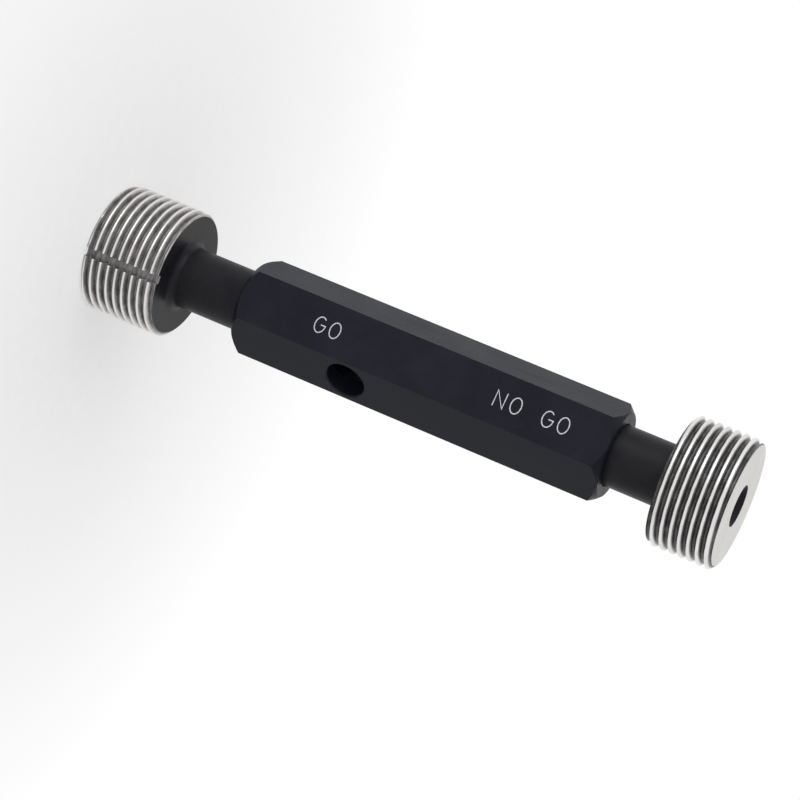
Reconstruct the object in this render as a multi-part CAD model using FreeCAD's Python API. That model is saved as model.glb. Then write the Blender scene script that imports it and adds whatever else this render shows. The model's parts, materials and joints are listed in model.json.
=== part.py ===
# Taper-lock thread plug gauge, double ended, for a G 3/4 internal pipe thread.
#
# Three separate pieces, as on the real gauge:
#   handle      hexagonal bar, bored 1:50 from both ends, cross drilled for the drift
#   go_plug     full-form thread head, neck and 1:50 shank, turned and ground in one piece
#   no_go_plug  short, truncated thread head, neck and 1:50 shank, in one piece
#
# Frame: millimetres, +Z up along the gauge axis, standing on the Go end face.
# z = 0 is the Go end face, x = y = 0 is the axis, the marked flat faces -Y.

import FreeCAD, Part
import math
import os

V = FreeCAD.Vector
UP = V(0, 0, 1)

# ---------------------------------------------------------------- driving sizes
# thread of the gauge: 55 degree pipe thread, 14 turns to the inch
THREADS_PER_INCH = 14
PITCH = 25.4 / THREADS_PER_INCH
FLANK_HALF_ANGLE = 27.5
GO_MAJOR_D = 26.44
ROUNDING_R = 0.137329 * PITCH          # rounding of crest and root
THREAD_START_ANGLE = 90.0              # where the thread starts, from +X towards +Y
THREAD_STEPS = 28                      # facets to a turn of the thread

# the No-Go member: crest cut down, flanks short
NO_GO_MAJOR_D = 25.90
NO_GO_DEPTH = 0.93

# lengths along the axis
GO_HEAD_LENGTH = 16.5
GO_NECK_LENGTH = 15.6
HANDLE_LENGTH = 79.0
NO_GO_NECK_LENGTH = 11.7
NO_GO_HEAD_LENGTH = 13.2

# heads and necks
END_CHAMFER = 0.75                     # 45 degree chamfer on all head edges
NECK_D = 12.4
NECK_ROOT_R = 1.5                      # fillet between neck and head
DIRT_GROOVE_WIDTH = 1.8
DIRT_GROOVE_DEPTH = 1.75               # from the crest, a little past the thread root
DIRT_GROOVE_ANGLE = -68.0              # from +X towards +Y
CENTRE_MOUTH_D = 8.4                   # 60 degree centre hole in each outer face
CENTRE_PILOT_D = 2.4
CENTRE_PILOT_EXTRA = 2.0

# taper lock
TAPER_RATE = 1.0 / 50.0                # on the diameter
SHANK_DEPTH = 21.0                     # how far a shank reaches into the handle
SEAT_RESERVE = 2.0                     # taper that stays outside the handle face
TAPER_GAP = 0.01                       # radial gap drawn between shank and bore
SHANK_TIP_CHAMFER = 0.5
BORE_MOUTH_CHAMFER = 0.3

# handle
ACROSS_FLATS = 17.5
END_FACE_D = 17.0                      # circle left on the end by the 45 degree turning
DRIFT_HOLE_D = 8.2
DRIFT_HOLE_FROM_END = 25.5             # from the Go end of the handle
DRIFT_HOLE_ANGLE = -30.0               # drilling direction, from +X towards +Y
DRIFT_HOLE_BREAK = 0.25                # broken edge of the hole
GO_BORE_PAST_HOLE = 2.5                # taper bore runs on past the drift hole
NO_GO_BORE_SPARE = 2.0                 # taper bore runs on past the No-Go shank
KNOCK_OUT_D = 5.0                      # lets a rod reach the No-Go shank

# ---------------------------------------------------------------- derived places
Z_GO_INNER = GO_HEAD_LENGTH
Z_HANDLE_0 = Z_GO_INNER + GO_NECK_LENGTH
Z_HANDLE_1 = Z_HANDLE_0 + HANDLE_LENGTH
Z_NO_GO_INNER = Z_HANDLE_1 + NO_GO_NECK_LENGTH
Z_TOP = Z_NO_GO_INNER + NO_GO_HEAD_LENGTH
Z_DRIFT_HOLE = Z_HANDLE_0 + DRIFT_HOLE_FROM_END
NECK_R = NECK_D / 2.0
SLOPE = TAPER_RATE / 2.0


def shank_radius(depth):
    """Radius of the 1:50 shank at a depth below the handle's end face."""
    return NECK_R - SLOPE * (depth + SEAT_RESERVE)


def at_angle(r, degrees, z=0.0):
    a = math.radians(degrees)
    return V(r * math.cos(a), r * math.sin(a), z)


def turned(points):
    """Solid of revolution about Z from (radius, z) points."""
    ring = [V(r, 0, z) for r, z in points]
    ring.append(ring[0])
    return Part.Face(Part.makePolygon(ring)).revolve(V(0, 0, 0), UP, 360)


# ---------------------------------------------------------------- thread
def whitworth_form(crest_r):
    """One pitch of the full rounded form as (radius, distance) points, crest first."""
    flank = math.radians(FLANK_HALF_ANGLE)
    arc_half = ROUNDING_R * math.cos(flank)
    sag = ROUNDING_R * (1 - math.sin(flank))
    depth = (PITCH / 2 - 2 * arc_half) / math.tan(flank) + 2 * sag
    crest = [(-arc_half, sag), (-arc_half / 2, 0), (arc_half / 2, 0), (arc_half, sag)]
    root = [(PITCH / 2 + s, depth - drop) for s, drop in crest]
    return [(crest_r - drop, s) for s, drop in crest + root]


def truncated_form(crest_r, depth):
    """One pitch of the No-Go form: flat crest and flat root, short flanks."""
    flat_half = (PITCH / 2 - depth * math.tan(math.radians(FLANK_HALF_ANGLE))) / 2
    return [(crest_r, -flat_half), (crest_r, flat_half),
            (crest_r - depth, PITCH / 2 - flat_half), (crest_r - depth, PITCH / 2 + flat_half)]


def threaded_rod(form, z_low, z_high):
    """Right-hand threaded rod, its helical faces laid out in THREAD_STEPS facets a turn."""
    per_pitch = len(form)
    steps = int(math.ceil((z_high - z_low) / PITCH * THREAD_STEPS))

    def vertex(step, place):
        """Point number place of the form, counted on through the turns, at a step."""
        pitches, index = divmod(place, per_pitch)
        r, s = form[index]
        turns = step / THREAD_STEPS
        return at_angle(r, THREAD_START_ANGLE + 360 * turns, z_low + s + PITCH * (pitches + turns))

    def facet(a, b, c):
        faces.append(Part.Face(Part.makePolygon([a, b, c, a])))

    faces = []
    for i in range(steps):
        for j in range(per_pitch):
            low, low_next = vertex(i, j), vertex(i + 1, j)
            high, high_next = vertex(i, j + 1), vertex(i + 1, j + 1)
            facet(low, low_next, high_next)
            facet(low, high_next, high)
    bottom = V(0, 0, z_low)
    top = V(0, 0, vertex(steps, per_pitch).z)
    for i in range(THREAD_STEPS):
        last = steps - THREAD_STEPS + i
        facet(bottom, vertex(i + 1, 0), vertex(i, 0))
        facet(top, vertex(last, per_pitch), vertex(last + 1, per_pitch))
    for j in range(per_pitch):
        facet(bottom, vertex(0, j), vertex(0, j + 1))
        facet(top, vertex(steps, j + 1), vertex(steps, j))
    skin = Part.makeCompound(faces)
    skin.sewShape()
    return Part.makeSolid(skin.Shells[0])


# ---------------------------------------------------------------- plug members
def head_envelope(major_r, length):
    """Turned blank of a head, z = 0 the outer face, both edges chamfered."""
    c = END_CHAMFER
    return turned([(0, 0), (major_r - c, 0), (major_r, c), (major_r, length - c),
                   (major_r - c, length), (0, length)])


def neck_and_shank(head_length, neck_length):
    """Neck with a filleted root and the 1:50 shank, on a head whose face is z = 0."""
    z_in = head_length
    z_face = head_length + neck_length
    z_tip = z_face + SHANK_DEPTH
    r = NECK_ROOT_R
    f = SHANK_TIP_CHAMFER
    tip_r = shank_radius(SHANK_DEPTH)
    root = V(NECK_R + r, 0, z_in)
    line = [V(0, 0, z_in - 1), V(NECK_R + r, 0, z_in - 1), root]
    mid = V(NECK_R + r - r * math.sin(math.pi / 4), 0, z_in + r - r * math.cos(math.pi / 4))
    after = V(NECK_R, 0, z_in + r)
    rest = [after, V(NECK_R, 0, z_face - SEAT_RESERVE), V(shank_radius(SHANK_DEPTH - f), 0, z_tip - f),
            V(tip_r - f, 0, z_tip), V(0, 0, z_tip), line[0]]
    edges = Part.makePolygon(line).Edges
    edges.append(Part.Arc(root, mid, after).toShape())
    edges += Part.makePolygon(rest).Edges
    return Part.Face(Part.Wire(edges)).revolve(V(0, 0, 0), UP, 360)


def centre_hole():
    """60 degree centre hole entering at z = 0."""
    mouth = CENTRE_MOUTH_D / 2
    pilot = CENTRE_PILOT_D / 2
    cone = (mouth - pilot) / math.tan(math.radians(30))
    deep = cone + CENTRE_PILOT_EXTRA
    tip = deep + pilot / math.tan(math.radians(59))
    over = 0.5
    flare = mouth + over * math.tan(math.radians(30))
    return turned([(0, -over), (flare, -over), (pilot, cone), (pilot, deep), (0, tip)])


def plug(form, major_d, head_length, neck_length):
    """A plug member standing on its outer face at z = 0."""
    rod = threaded_rod(form, -1.3 * PITCH, head_length + 0.3 * PITCH)
    head = rod.common(head_envelope(major_d / 2, head_length))
    body = head.fuse(neck_and_shank(head_length, neck_length))
    return body.cut(centre_hole())


def build_go():
    body = plug(whitworth_form(GO_MAJOR_D / 2), GO_MAJOR_D, GO_HEAD_LENGTH, GO_NECK_LENGTH)
    slot = Part.makeBox(DIRT_GROOVE_DEPTH + 2, DIRT_GROOVE_WIDTH, GO_HEAD_LENGTH + 2,
                        V(GO_MAJOR_D / 2 - DIRT_GROOVE_DEPTH, -DIRT_GROOVE_WIDTH / 2, -1))
    slot.rotate(V(0, 0, 0), UP, DIRT_GROOVE_ANGLE)
    return body.cut(slot)


def build_no_go():
    """Made on its outer face like the Go member, then turned over so its head is on top."""
    form = truncated_form(NO_GO_MAJOR_D / 2, NO_GO_DEPTH)
    body = plug(form, NO_GO_MAJOR_D, NO_GO_HEAD_LENGTH, NO_GO_NECK_LENGTH)
    body.rotate(V(0, 0, 0), V(1, 0, 0), 180)
    body.translate(V(0, 0, Z_TOP))
    return body


# ---------------------------------------------------------------- handle
def taper_bore(depth):
    """Taper bore entering at z = 0 and going up, with a small chamfer at the mouth."""
    c = BORE_MOUTH_CHAMFER
    mouth = shank_radius(0) + TAPER_GAP
    return turned([(0, -1), (mouth + c + 1, -1), (mouth - SLOPE * c, c),
                   (shank_radius(depth) + TAPER_GAP, depth), (0, depth)])


def build_handle():
    corner_r = ACROSS_FLATS / math.sqrt(3)
    corners = [at_angle(corner_r, 60 * i) for i in range(7)]
    bar = Part.Face(Part.makePolygon(corners)).extrude(V(0, 0, HANDLE_LENGTH))
    drop = corner_r + 1 - END_FACE_D / 2
    turned_ends = turned([(0, 0), (END_FACE_D / 2, 0), (corner_r + 1, drop),
                          (corner_r + 1, HANDLE_LENGTH - drop), (END_FACE_D / 2, HANDLE_LENGTH),
                          (0, HANDLE_LENGTH)])
    bar = bar.common(turned_ends)

    go_bore_depth = DRIFT_HOLE_FROM_END + DRIFT_HOLE_D / 2 + GO_BORE_PAST_HOLE
    no_go_bore_depth = SHANK_DEPTH + NO_GO_BORE_SPARE
    go_bore = taper_bore(go_bore_depth)
    no_go_bore = taper_bore(no_go_bore_depth)
    no_go_bore.rotate(V(0, 0, 0), V(1, 0, 0), 180)
    no_go_bore.translate(V(0, 0, HANDLE_LENGTH))
    knock_out = Part.makeCylinder(KNOCK_OUT_D / 2, HANDLE_LENGTH - go_bore_depth - no_go_bore_depth + 2,
                                  V(0, 0, go_bore_depth - 1))

    b = DRIFT_HOLE_BREAK
    r = DRIFT_HOLE_D / 2
    flat = ACROSS_FLATS / 2
    drift = turned([(0, -flat - 1), (r + b + 1, -flat - 1), (r, -flat + b), (r, flat - b),
                    (r + b + 1, flat + 1), (0, flat + 1)])
    drift.rotate(V(0, 0, 0), V(0, 1, 0), 90)
    drift.rotate(V(0, 0, 0), UP, DRIFT_HOLE_ANGLE)
    drift.translate(V(0, 0, DRIFT_HOLE_FROM_END))

    for tool in (go_bore, no_go_bore, knock_out, drift):
        bar = bar.cut(tool)
    bar.translate(V(0, 0, Z_HANDLE_0))
    return bar


# ---------------------------------------------------------------- write the nodes
os.makedirs("parts", exist_ok=True)
nodes = {
    "handle": build_handle(),
    "go_plug": build_go(),
    "no_go_plug": build_no_go(),
}
for name in nodes:
    shape = nodes[name]
    solids = shape.Solids
    print(name, "valid", shape.isValid(), "solids", len(solids), "faces", len(shape.Faces),
          "volume", round(shape.Volume, 1), "box", shape.BoundBox)
    if len(solids) == 1:
        shape = solids[0]
    shape.exportStep("parts/" + name + ".step")
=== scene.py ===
import json
import math

import bpy
from mathutils import Matrix, Vector


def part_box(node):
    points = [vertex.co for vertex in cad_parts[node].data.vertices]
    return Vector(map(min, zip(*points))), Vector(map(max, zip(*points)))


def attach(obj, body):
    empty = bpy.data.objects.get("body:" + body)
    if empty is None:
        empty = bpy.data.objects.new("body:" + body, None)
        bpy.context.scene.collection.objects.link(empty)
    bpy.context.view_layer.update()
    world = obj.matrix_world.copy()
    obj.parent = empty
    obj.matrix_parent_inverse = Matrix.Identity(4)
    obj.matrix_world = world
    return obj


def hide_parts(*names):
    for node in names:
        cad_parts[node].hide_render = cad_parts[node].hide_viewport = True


# Looks of a double-ended thread plug gauge that stands on its Go end, +Z up its axis.
# Sizes are in metres; MM turns millimetres into them.

MM = 0.001
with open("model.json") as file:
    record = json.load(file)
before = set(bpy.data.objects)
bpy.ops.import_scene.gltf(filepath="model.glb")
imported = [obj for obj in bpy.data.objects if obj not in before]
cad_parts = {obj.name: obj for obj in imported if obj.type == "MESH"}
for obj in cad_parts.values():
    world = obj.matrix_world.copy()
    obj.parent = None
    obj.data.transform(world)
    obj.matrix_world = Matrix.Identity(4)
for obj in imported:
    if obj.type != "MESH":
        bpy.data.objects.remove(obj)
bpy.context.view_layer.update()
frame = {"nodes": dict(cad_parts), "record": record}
record = frame["record"]


def mount(name):
    return next(m for m in record["mounts"] if m["name"] == name)


# ---------------------------------------------------------------- sizes
GO_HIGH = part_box("go_plug")[1]
NO_GO_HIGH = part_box("no_go_plug")[1]
HANDLE_LOW, HANDLE_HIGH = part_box("handle")

PITCH = 25.4 / 14 * MM
FLANK_ANGLE = math.radians(27.5)
ROUNDING = 0.137329 * PITCH

GO_R = mount("go_thread")["dims"]["r_mm"] * MM
GO_HEAD = mount("go_thread")["dims"]["length_mm"] * MM
NO_GO_R = mount("no_go_thread")["dims"]["r_mm"] * MM
NO_GO_HEAD = mount("no_go_thread")["dims"]["length_mm"] * MM
GO_NECK = HANDLE_LOW.z - GO_HEAD
NO_GO_NECK = NO_GO_HIGH.z - NO_GO_HEAD - HANDLE_HIGH.z
SHANK = GO_HIGH.z - HANDLE_LOW.z
CENTRE_R = mount("no_go_centre")["dims"]["r_mm"] * MM

NECK_R = 6.2 * MM
NECK_ROOT_R = 1.5 * MM
SEAT_RESERVE = 2.0 * MM
TAPER_SLOPE = 0.01
END_CHAMFER = 0.75 * MM
SHANK_TIP_CHAMFER = 0.5 * MM
FACE_MARGIN = 1.4 * MM
FACE_EDGE_INSET = 0.03 * MM
CENTRE_MOUTH_WIDTH = 0.12 * MM
DRILL_TIP_R = 0.2 * MM
DRILL_TIP_DEPTH = 0.6 * MM
CENTRE_PILOT_R = 1.2 * MM
CENTRE_PILOT_EXTRA = 2.0 * MM
DIRT_GROOVE_HALF = 0.9 * MM
DIRT_GROOVE_DEPTH = 1.75 * MM
DIRT_GROOVE_ANGLE = math.radians(-68.0)
DIRT_GROOVE_LIP = 0.06 * MM
DIRT_GROOVE_CORNER = 0.2 * MM
DIRT_GROOVE_CLEAR = 0.11              # half the angle kept free of thread columns, in radians
GO_DEPTH = 1.162 * MM
NO_GO_DEPTH = 0.93 * MM
CREST_SOFTNESS = 0.06 * MM
NO_GO_CORNER = 0.12 * MM
THREAD_LEAD_IN = 1.3 * PITCH
THREAD_START_ANGLE = math.radians(90.0)


# ---------------------------------------------------------------- thread form
def smooth_min(a, b, width):
    h = max(width - abs(a - b), 0.0) / width
    return min(a, b) - h * h * width / 4


def full_form(s):
    """Depth below the crest of the full rounded thread, s from the middle of a crest."""
    arc_half = ROUNDING * math.cos(FLANK_ANGLE)
    sag = ROUNDING * (1 - math.sin(FLANK_ANGLE))
    depth = (PITCH / 2 - 2 * arc_half) / math.tan(FLANK_ANGLE) + 2 * sag
    if s < arc_half:
        return ROUNDING - math.sqrt(ROUNDING ** 2 - s ** 2)
    if s < PITCH / 2 - arc_half:
        return sag + (s - arc_half) / math.tan(FLANK_ANGLE)
    t = PITCH / 2 - s
    return depth - ROUNDING + math.sqrt(ROUNDING ** 2 - t ** 2)


def truncated_form(s):
    """Depth below the crest of the No-Go thread, with its corners just broken."""
    flat_half = (PITCH / 2 - NO_GO_DEPTH * math.tan(FLANK_ANGLE)) / 2
    slope = (s - flat_half) / math.tan(FLANK_ANGLE)
    rounded = -smooth_min(-slope, 0.0, NO_GO_CORNER)
    return max(0.0, smooth_min(rounded, NO_GO_DEPTH, NO_GO_CORNER))


class Skin:
    """Vertices and faces of one mesh, with a material number for each face."""

    def __init__(self):
        self.points = []
        self.faces = []
        self.kinds = []

    def ring(self, points):
        first = len(self.points)
        self.points.extend(points)
        return list(range(first, len(self.points)))

    def bridge(self, low, high, kind):
        """Faces between two rings, the second one further along the surface."""
        n = len(low)
        for i in range(n):
            j = (i + 1) % n
            self.faces.append((low[i], low[j], high[j], high[i]))
            self.kinds.append(kind)

    def cap(self, ring, kind):
        self.faces.append(tuple(ring))
        self.kinds.append(kind)


BRIGHT_THREAD, BRIGHT_FACE, DARK_TURNED = 0, 1, 2
ROW_STEP = 0.085 * MM
COLUMNS = 252


def place(r, a, z):
    return Vector((r * math.cos(a), r * math.sin(a), z))


class Head:
    """Threaded, chamfered head standing on its outer face at z = 0."""

    def __init__(self, crest_r, length, form, groove):
        self.crest_r = crest_r
        self.length = length
        self.form = form
        self.groove = groove
        if groove:
            free = 2 * math.pi - 2 * DIRT_GROOVE_CLEAR
            start = DIRT_GROOVE_ANGLE + DIRT_GROOVE_CLEAR
            self.angles = [start + free * i / COLUMNS for i in range(COLUMNS + 1)]
        else:
            self.angles = [2 * math.pi * i / COLUMNS for i in range(COLUMNS)]

    def radius(self, a, z):
        s = (z + THREAD_LEAD_IN) / PITCH - (a - THREAD_START_ANGLE) / (2 * math.pi)
        s = (s - math.floor(s + 0.5)) * PITCH
        thread = self.crest_r - self.form(abs(s))
        blank = self.crest_r - END_CHAMFER + min(z, self.length - z)
        return smooth_min(thread, blank, CREST_SOFTNESS)

    def groove_points(self, side, z, inset=0.0):
        """From the crest down one wall of the dirt groove to its floor."""
        c, s = math.cos(DIRT_GROOVE_ANGLE), math.sin(DIRT_GROOVE_ANGLE)
        top = self.radius(DIRT_GROOVE_ANGLE + side * DIRT_GROOVE_HALF / self.crest_r, z) - inset
        floor = self.crest_r - DIRT_GROOVE_DEPTH - inset
        steps = [(DIRT_GROOVE_HALF + DIRT_GROOVE_LIP, top), (DIRT_GROOVE_HALF, top - DIRT_GROOVE_LIP),
                 (DIRT_GROOVE_HALF, floor + DIRT_GROOVE_CORNER),
                 (DIRT_GROOVE_HALF - DIRT_GROOVE_CORNER, floor), (0.0, floor)]
        out = []
        for across, r in steps:
            r = max(r, floor)
            out_of_axis = math.sqrt(r * r - across * across)
            w = side * across
            out.append(Vector((out_of_axis * c - w * s, out_of_axis * s + w * c, z)))
        return out

    def ring_points(self, z, inset=0.0):
        """Outline of the head at a height, shrunk by inset where it runs into a face."""
        points = [place(self.radius(a, z) - inset, a, z) for a in self.angles]
        if self.groove:
            before = self.groove_points(-1, z, inset)
            after = self.groove_points(1, z, inset)
            points += before + list(reversed(after[:-1]))
        return points

    def face_ring(self, r, z):
        """Plain circle of a face, with one point for each point of the outline."""
        outline = self.ring_points(0.0)
        return [Vector((p.x, p.y, 0)).normalized() * r + Vector((0, 0, z)) for p in outline]


def build_plug(head, neck_length, shank_length):
    """One plug member as a skin: outer face and centre hole, threaded head, inner face, neck, shank."""
    skin = Skin()
    length = head.length
    z_face = length + neck_length
    z_tip = z_face + shank_length
    pilot_z = (CENTRE_R - CENTRE_PILOT_R) / math.tan(math.radians(30))
    face_r = head.crest_r - END_CHAMFER - FACE_MARGIN

    # centre hole, from its bottom out to the outer face
    rows = [(DRILL_TIP_R, pilot_z + CENTRE_PILOT_EXTRA + DRILL_TIP_DEPTH, DARK_TURNED),
            (CENTRE_PILOT_R, pilot_z + CENTRE_PILOT_EXTRA, DARK_TURNED),
            (CENTRE_PILOT_R, pilot_z, DARK_TURNED)]
    cone_steps = 8
    for i in range(1, cone_steps + 1):
        share = i / cone_steps
        cone_r = CENTRE_PILOT_R + (CENTRE_R - CENTRE_PILOT_R) * share
        rows.append((cone_r, pilot_z * (1 - share), DARK_TURNED))
    rows.append((CENTRE_R + CENTRE_MOUTH_WIDTH, 0.0, BRIGHT_FACE))
    face_steps = 12
    for i in range(1, face_steps):
        rows.append((CENTRE_R + (face_r - CENTRE_R) * i / (face_steps - 1), 0.0, BRIGHT_FACE))
    previous = None
    for r, z, kind in rows:
        ring = skin.ring(head.face_ring(r, z))
        if previous is None:
            skin.cap(list(reversed(ring)), DARK_TURNED)
        else:
            skin.bridge(previous, ring, kind)
        previous = ring
    ring = skin.ring(head.ring_points(0.0, FACE_EDGE_INSET))
    skin.bridge(previous, ring, BRIGHT_FACE)
    previous = ring

    # threaded surface
    count = int(round(length / ROW_STEP))
    for i in range(count + 1):
        ring = skin.ring(head.ring_points(length * i / count))
        skin.bridge(previous, ring, BRIGHT_THREAD)
        previous = ring

    # inner face, root fillet, neck and shank
    ring = skin.ring(head.ring_points(length, FACE_EDGE_INSET))
    skin.bridge(previous, ring, DARK_TURNED)
    previous = ring
    rows = []
    root_r = NECK_R + NECK_ROOT_R
    for i in range(face_steps):
        share = i / face_steps
        rows.append((face_r - (face_r - root_r) * share, length))
    for i in range(9):
        t = math.pi / 2 * i / 8
        rows.append((root_r - NECK_ROOT_R * math.sin(t), length + NECK_ROOT_R * (1 - math.cos(t))))
    z_taper = z_face - SEAT_RESERVE
    neck_steps = 8
    z_root = length + NECK_ROOT_R
    for i in range(1, neck_steps + 1):
        rows.append((NECK_R, z_root + (z_taper - z_root) * i / neck_steps))
    rows.append((NECK_R - TAPER_SLOPE * SEAT_RESERVE, z_face))
    tip_r = NECK_R - TAPER_SLOPE * (SEAT_RESERVE + shank_length)
    rows.append((tip_r, z_tip - SHANK_TIP_CHAMFER))
    rows.append((tip_r - SHANK_TIP_CHAMFER, z_tip))
    for r, z in rows:
        ring = skin.ring(head.face_ring(r, z))
        skin.bridge(previous, ring, DARK_TURNED)
        previous = ring
    skin.cap(previous, DARK_TURNED)
    return skin


def mesh_object(name, skin, turn):
    mesh = bpy.data.meshes.new(name)
    mesh.from_pydata([turn @ p for p in skin.points], [], skin.faces)
    mesh.polygons.foreach_set("material_index", skin.kinds)
    mesh.polygons.foreach_set("use_smooth", [True] * len(skin.faces))
    mesh.update()
    mesh.set_sharp_from_angle(angle=math.radians(38))
    obj = bpy.data.objects.new(name, mesh)
    bpy.context.scene.collection.objects.link(obj)
    return obj


# ---------------------------------------------------------------- materials
class Nodes:
    """Short way to write a node tree: one call makes a node and sets its inputs."""

    def __init__(self, owner):
        self.owner = owner
        owner.use_nodes = True
        self.tree = owner.node_tree
        self.tree.nodes.clear()

    def add(self, kind, settings=None, **inputs):
        node = self.tree.nodes.new("ShaderNode" + kind)
        for key, value in (settings or {}).items():
            setattr(node, key, value)
        for key, value in inputs.items():
            self.join(value, node.inputs[key])
        return node

    def join(self, value, socket):
        if isinstance(value, bpy.types.NodeSocket):
            self.tree.links.new(value, socket)
        else:
            socket.default_value = value

    def math(self, operation, a, b=0.0):
        node = self.add("Math", {"operation": operation})
        self.join(a, node.inputs[0])
        self.join(b, node.inputs[1])
        return node.outputs[0]

    def mix(self, share, a, b):
        node = self.add("Mix", {"data_type": "RGBA"})
        self.join(share, node.inputs[0])
        self.join(a, node.inputs[6])
        self.join(b, node.inputs[7])
        return node.outputs[2]

    def noise(self, position, scale, detail=3.0, roughness=0.5):
        node = self.add("TexNoise", Vector=position, Scale=scale, Detail=detail, Roughness=roughness)
        return node.outputs["Fac"]

    def ramp(self, value, low, high, to_low=0.0, to_high=1.0):
        node = self.add("MapRange", {"clamp": True}, Value=value)
        for i, v in enumerate((low, high, to_low, to_high)):
            node.inputs[i + 1].default_value = v
        return node.outputs[0]

    def stretch(self, position, x, y, z):
        node = self.add("Mapping", Vector=position)
        node.inputs["Scale"].default_value = (x, y, z)
        return node.outputs[0]

    def blend(self, share, first, second):
        node = self.add("MixShader")
        self.join(share, node.inputs[0])
        self.join(first, node.inputs[1])
        self.join(second, node.inputs[2])
        return node.outputs[0]

    def finish(self, **inputs):
        shader = self.add("BsdfPrincipled", **inputs)
        self.add("OutputMaterial", Surface=shader.outputs[0])
        return self.owner


def object_position(n):
    return n.add("TexCoord").outputs["Object"]


def position_parts(n):
    """Object position, and the distance from the gauge axis."""
    position = object_position(n)
    x, y, z = n.add("SeparateXYZ", Vector=position).outputs
    radius = n.math("SQRT", n.math("ADD", n.math("MULTIPLY", x, x), n.math("MULTIPLY", y, y)))
    return position, radius


OXIDE_REFLECTION = 0.13


def oxide_material(name, dark, light, turned):
    """Satin black oxide: nearly black, cloudy, with faint tool lines and specks."""
    n = Nodes(bpy.data.materials.new(name))
    position = object_position(n)
    cloud = n.noise(position, 90.0, 4.0, 0.6)
    speck = n.noise(position, 1800.0, 2.0, 0.6)
    stretched = (60, 60, 5200) if turned else (2600, 2600, 40)
    lines = n.noise(n.stretch(position, *stretched), 1.0, 2.0)
    color = n.mix(n.ramp(cloud, 0.35, 0.68), dark, light)
    color = n.mix(n.ramp(speck, 0.70, 0.80, 0.0, 0.3), color, (0.07, 0.07, 0.08, 1))
    rough = n.math("ADD", n.ramp(cloud, 0.3, 0.7, 0.36, 0.46), n.ramp(lines, 0.3, 0.7, -0.03, 0.03))
    height = n.math("ADD", n.math("MULTIPLY", lines, 0.5), n.math("MULTIPLY", speck, 0.5))
    bump = n.add("Bump", Strength=0.22, Distance=0.00004, Height=height)
    return n.finish(**{"Base Color": color, "Metallic": 0.0, "Roughness": rough,
                       "Specular IOR Level": OXIDE_REFLECTION, "Normal": bump.outputs[0]})


def thread_material(name, crest_r, depth, land, flank_shade_dark, flank_shade_light, root_shade_color, root_shade_share):
    """Ground thread: crests kept brighter to a depth of land as a painted highlight, flanks darker as
    painted shade, roots darkened as painted shade, fine lines.
    """
    n = Nodes(bpy.data.materials.new(name))
    position, radius = position_parts(n)
    cloud = n.noise(position, 160.0, 4.0, 0.6)
    blotch = n.noise(n.stretch(position, 420, 420, 1500), 1.0, 3.0, 0.65)
    lines = n.noise(n.stretch(position, 90, 90, 9000), 1.0, 2.0)
    # Painted shade: a mask of the thread roots by depth, where the colour is darkened.
    root_shade_mask = n.ramp(radius, crest_r - depth * root_shade_share, crest_r - depth * root_shade_share * 0.45, 1.0, 0.0)
    # Painted highlight: the crests get a paler colour than the rest of the thread.
    crest = n.mix(n.ramp(cloud, 0.3, 0.7), (0.66, 0.645, 0.63, 1), (0.80, 0.785, 0.77, 1))
    shaded_flank = n.mix(n.ramp(blotch, 0.35, 0.65), flank_shade_dark, flank_shade_light)
    # Crest colour near the crest, flank colour below it: a painted highlight on the crests and painted shade
    # down the flanks.
    steel = n.mix(n.ramp(radius, crest_r - land * 1.6, crest_r - land * 0.6), shaded_flank, crest)
    # Painted shade in the roots, patchy by the blotch noise; it also lowers the metalness there.
    painted_root_shade = n.math("MULTIPLY", root_shade_mask, n.ramp(blotch, 0.25, 0.6, 0.95, 0.6))
    color = n.mix(painted_root_shade, steel, root_shade_color)
    metal = n.math("SUBTRACT", 1.0, n.math("MULTIPLY", painted_root_shade, 0.6))
    rough = n.math("ADD", n.ramp(blotch, 0.3, 0.7, 0.22, 0.34), n.math("MULTIPLY", root_shade_mask, 0.12))
    height = n.math("ADD", n.math("MULTIPLY", lines, 0.7), n.math("MULTIPLY", blotch, 0.3))
    bump = n.add("Bump", Strength=0.25, Distance=0.00003, Height=height)
    return n.finish(**{"Base Color": color, "Metallic": metal, "Roughness": rough,
                       "Normal": bump.outputs[0]})


def face_material(name):
    """Faced and ground end: pale steel with fine rings and a faint warm cast."""
    n = Nodes(bpy.data.materials.new(name))
    position, radius = position_parts(n)
    cloud = n.noise(position, 200.0, 4.0, 0.6)
    rings = n.add("TexNoise", {"noise_dimensions": "1D"}, W=n.math("MULTIPLY", radius, 9000.0), Scale=1.0,
                  Detail=2.0).outputs["Fac"]
    color = n.mix(n.ramp(cloud, 0.3, 0.7), (0.55, 0.54, 0.515, 1), (0.66, 0.65, 0.625, 1))
    rough = n.ramp(cloud, 0.3, 0.7, 0.30, 0.40)
    bump = n.add("Bump", Strength=0.25, Distance=0.00002, Height=rings)
    return n.finish(**{"Base Color": color, "Metallic": 1.0, "Roughness": rough, "Normal": bump.outputs[0]})


def marking_material(name):
    n = Nodes(bpy.data.materials.new(name))
    position = object_position(n)
    grain = n.noise(position, 2500.0, 2.0)
    color = n.mix(n.ramp(grain, 0.3, 0.7), (0.42, 0.43, 0.45, 1), (0.68, 0.69, 0.71, 1))
    bump = n.add("Bump", Strength=0.3, Distance=0.00002, Height=grain)
    return n.finish(**{"Base Color": color, "Metallic": 0.0, "Roughness": 0.6, "Normal": bump.outputs[0]})


FLAT_OXIDE = oxide_material("flat_oxide", (0.006, 0.0068, 0.012, 1), (0.011, 0.012, 0.020, 1), False)
TURNED_OXIDE = oxide_material("turned_oxide", (0.008, 0.008, 0.011, 1), (0.018, 0.0175, 0.021, 1), True)
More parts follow.
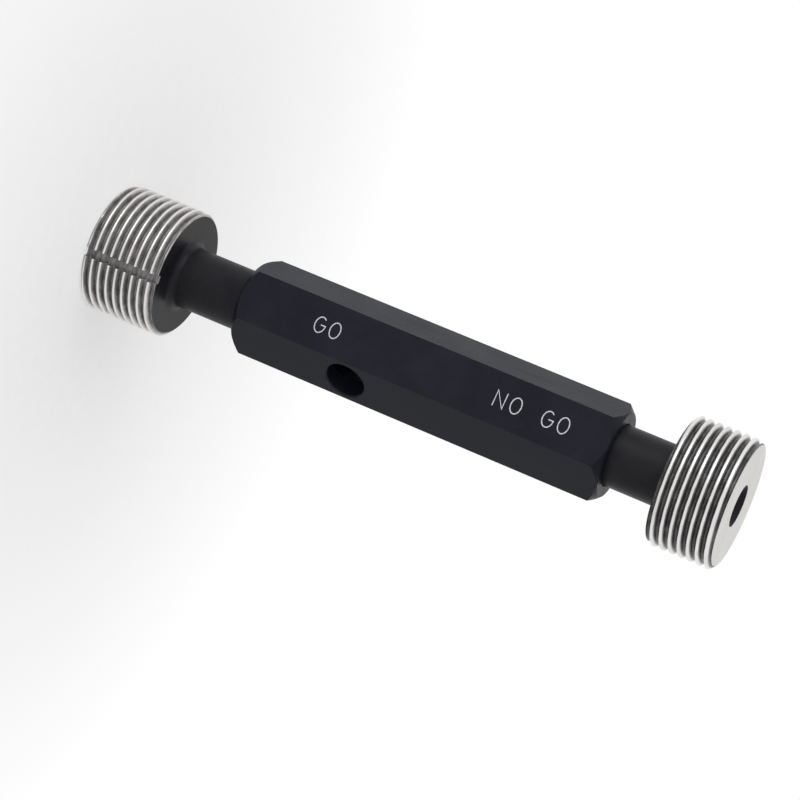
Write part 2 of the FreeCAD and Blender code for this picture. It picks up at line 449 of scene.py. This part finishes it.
# Flank and root colours are painted shade; the No-Go ones are nearly black, with a wider painted crest
# highlight.
GO_THREAD = thread_material("go_thread_steel", GO_R, GO_DEPTH, 0.18 * MM,
                            (0.38, 0.365, 0.355, 1), (0.60, 0.58, 0.565, 1), (0.07, 0.067, 0.07, 1), 0.70)
NO_GO_THREAD = thread_material("no_go_thread_steel", NO_GO_R, NO_GO_DEPTH, 0.40 * MM,
                               (0.10, 0.10, 0.105, 1), (0.24, 0.235, 0.24, 1), (0.010, 0.010, 0.012, 1), 1.0)
END_FACE = face_material("end_face_steel")
MARKING = marking_material("etched_marking")


# ---------------------------------------------------------------- the pieces
def dress_handle():
    handle = frame["nodes"]["handle"]
    handle.data.materials.clear()
    handle.data.materials.append(FLAT_OXIDE)


def dress_plug(node, head, neck_length, turn, thread):
    skin = build_plug(head, neck_length, SHANK)
    obj = mesh_object(node + "_ground", skin, turn)
    for material in (thread, END_FACE, TURNED_OXIDE):
        obj.data.materials.append(material)
    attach(obj, "root")
    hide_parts(node)


dress_handle()
dress_plug("go_plug", Head(GO_R, GO_HEAD, full_form, True), GO_NECK, Matrix.Identity(4), GO_THREAD)
NO_GO_TURN = Matrix.Translation((0, 0, NO_GO_HIGH.z)) @ Matrix.Rotation(math.pi, 4, "X")
dress_plug("no_go_plug", Head(NO_GO_R, NO_GO_HEAD, truncated_form, False), NO_GO_NECK, NO_GO_TURN,
           NO_GO_THREAD)


# ---------------------------------------------------------------- marking
# Single-stroke letters on a grid 2 wide and 3 high, as lists of strokes.
def arc(cx, cy, rx, ry, start, end, steps=14):
    points = []
    for i in range(steps + 1):
        a = math.radians(start + (end - start) * i / steps)
        points.append((cx + rx * math.cos(a), cy + ry * math.sin(a)))
    return points


LETTERS = {
    "G": [arc(1.05, 1.5, 1.05, 1.5, 48, 360) + [(1.15, 1.5)]],
    "O": [arc(1.0, 1.5, 1.0, 1.5, 0, 360, 24)],
    "N": [[(0, 0), (0, 3), (1.9, 0), (1.9, 3)]],
    " ": [],
}
LETTER_UNIT = 1.06 * MM
LETTER_STEP = 3.1
STROKE = 0.21 * MM
MARK_HEIGHT = 0.012 * MM


def ribbon(points, skin, y):
    """Flat stroke of even width along points in the marked flat, with mitred joins."""
    sides = []
    last = len(points) - 1
    for i, p in enumerate(points):
        back = (p - points[i - 1]).normalized() if i > 0 else (points[1] - p).normalized()
        ahead = (points[i + 1] - p).normalized() if i < last else back
        along = (back + ahead).normalized()
        side = Vector((-along.y, along.x))
        spread = STROKE / 2 / max(side.dot(Vector((-back.y, back.x))), 0.45)
        sides.append((p + side * spread, p - side * spread))
    first = len(skin.points)
    for a, b in sides:
        skin.points += [Vector((a.x, y, a.y)), Vector((b.x, y, b.y))]
    for i in range(last):
        k = first + 2 * i
        skin.faces.append((k, k + 1, k + 3, k + 2))
        skin.kinds.append(0)


def write_word(word, z_start, skin, y):
    """Letters read up the gauge axis, with their tops towards -X."""
    for i, letter in enumerate(word):
        for stroke in LETTERS[letter]:
            points = []
            for u, v in stroke:
                along = (u + i * LETTER_STEP) * LETTER_UNIT
                across = (1.5 - v) * LETTER_UNIT
                points.append(Vector((across, z_start + along)))
            ribbon(points, skin, y)


def add_marking():
    skin = Skin()
    y = HANDLE_LOW.y - MARK_HEIGHT
    length = HANDLE_HIGH.z - HANDLE_LOW.z
    write_word("GO", HANDLE_LOW.z + 0.21 * length, skin, y)
    write_word("NO GO", HANDLE_LOW.z + 0.70 * length, skin, y)
    obj = mesh_object("marking", skin, Matrix.Identity(4))
    obj.data.materials.append(MARKING)
    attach(obj, "root")


add_marking()


# ---------------------------------------------------------------- camera
# Direction from the object to the camera and the roll are those of the photograph.
CAMERA_PLACE = Vector((0.068138, -0.463304, 0.213648))
CAMERA_RIGHT = Vector((-0.42109, 0.22047, 0.87982))
CAMERA_AHEAD = Vector((-0.12638, 0.94628, -0.29761))
FOCAL_SHARE = 3.18271


def add_camera():
    data = bpy.data.cameras.new("camera")
    data.sensor_width = 36
    data.lens = 36 * FOCAL_SHARE
    data.clip_start = 0.01
    camera = bpy.data.objects.new("camera", data)
    bpy.context.scene.collection.objects.link(camera)
    back = -CAMERA_AHEAD.normalized()
    right = (CAMERA_RIGHT - CAMERA_RIGHT.dot(back) * back).normalized()
    up = back.cross(right)
    turn = Matrix((right, up, back)).transposed().to_4x4()
    camera.matrix_world = Matrix.Translation(CAMERA_PLACE) @ turn
    bpy.context.scene.camera = camera
    bpy.context.scene.view_settings.view_transform = "Standard"


add_camera()


# ---------------------------------------------------------------- floor, world and lamps
# "Overhead" is the way the light comes from: across the gauge, a little to one side of the marked flat.
OVERHEAD = Vector((-0.617, -0.787, 0.0))
FLOOR_RADIUS = 0.16


def seen_ray(n):
    """1 for what the camera and reflections see of the surroundings, 0 for the light on the object."""
    path = n.add("LightPath").outputs
    through = n.math("MAXIMUM", path["Is Glossy Ray"], path["Is Transmission Ray"])
    return n.math("MAXIMUM", path["Is Camera Ray"], through)


def add_floor():
    bpy.ops.mesh.primitive_circle_add(vertices=96, radius=FLOOR_RADIUS, fill_type="NGON")
    floor = bpy.context.object
    floor.name = "floor"
    n = Nodes(bpy.data.materials.new("pale_floor"))
    position, radius = position_parts(n)
    paper = n.noise(position, 300.0, 3.0)
    color = n.mix(n.ramp(paper, 0.3, 0.7), (0.80, 0.80, 0.80, 1), (0.84, 0.84, 0.84, 1))
    diffuse = n.add("BsdfDiffuse", Color=color).outputs[0]
    white = n.add("Emission", Color=(1, 1, 1, 1), Strength=1.0).outputs[0]
    fade = n.ramp(radius, 0.02, FLOOR_RADIUS * 0.9, 0.55, 1.0)
    share = n.math("MULTIPLY", seen_ray(n), fade)
    n.add("OutputMaterial", Surface=n.blend(share, diffuse, white))
    floor.data.materials.append(n.owner)


def add_world():
    """White surroundings; the light they give is soft and strongest from overhead."""
    world = bpy.data.worlds.new("studio")
    bpy.context.scene.world = world
    n = Nodes(world)
    direction = n.add("TexCoord").outputs["Generated"]
    height = n.add("VectorMath", {"operation": "DOT_PRODUCT"})
    n.join(direction, height.inputs[0])
    height.inputs[1].default_value = OVERHEAD.normalized()
    level = height.outputs["Value"]
    color = n.mix(n.ramp(level, -0.6, 0.8), (0.30, 0.30, 0.31, 1), (0.95, 0.95, 0.96, 1))
    lit = n.add("Background", Color=color, Strength=1.0).outputs[0]
    white = n.add("Background", Color=(1, 1, 1, 1), Strength=1.0).outputs[0]
    n.add("OutputWorld", Surface=n.blend(seen_ray(n), lit, white))


def add_lamp(name, direction, distance, size, power, target):
    data = bpy.data.lights.new(name, "AREA")
    data.shape = "DISK"
    data.size = size
    data.energy = power
    lamp = bpy.data.objects.new(name, data)
    bpy.context.scene.collection.objects.link(lamp)
    turn = direction.to_track_quat("Z", "Y").to_matrix().to_4x4()
    lamp.matrix_world = Matrix.Translation(target + direction.normalized() * distance) @ turn


add_floor()
add_world()
MIDDLE = Vector((0, 0, NO_GO_HIGH.z / 2))
add_lamp("overhead_softbox", OVERHEAD + Vector((0, 0, 0.25)), 0.6, 0.5, 1.4, MIDDLE)
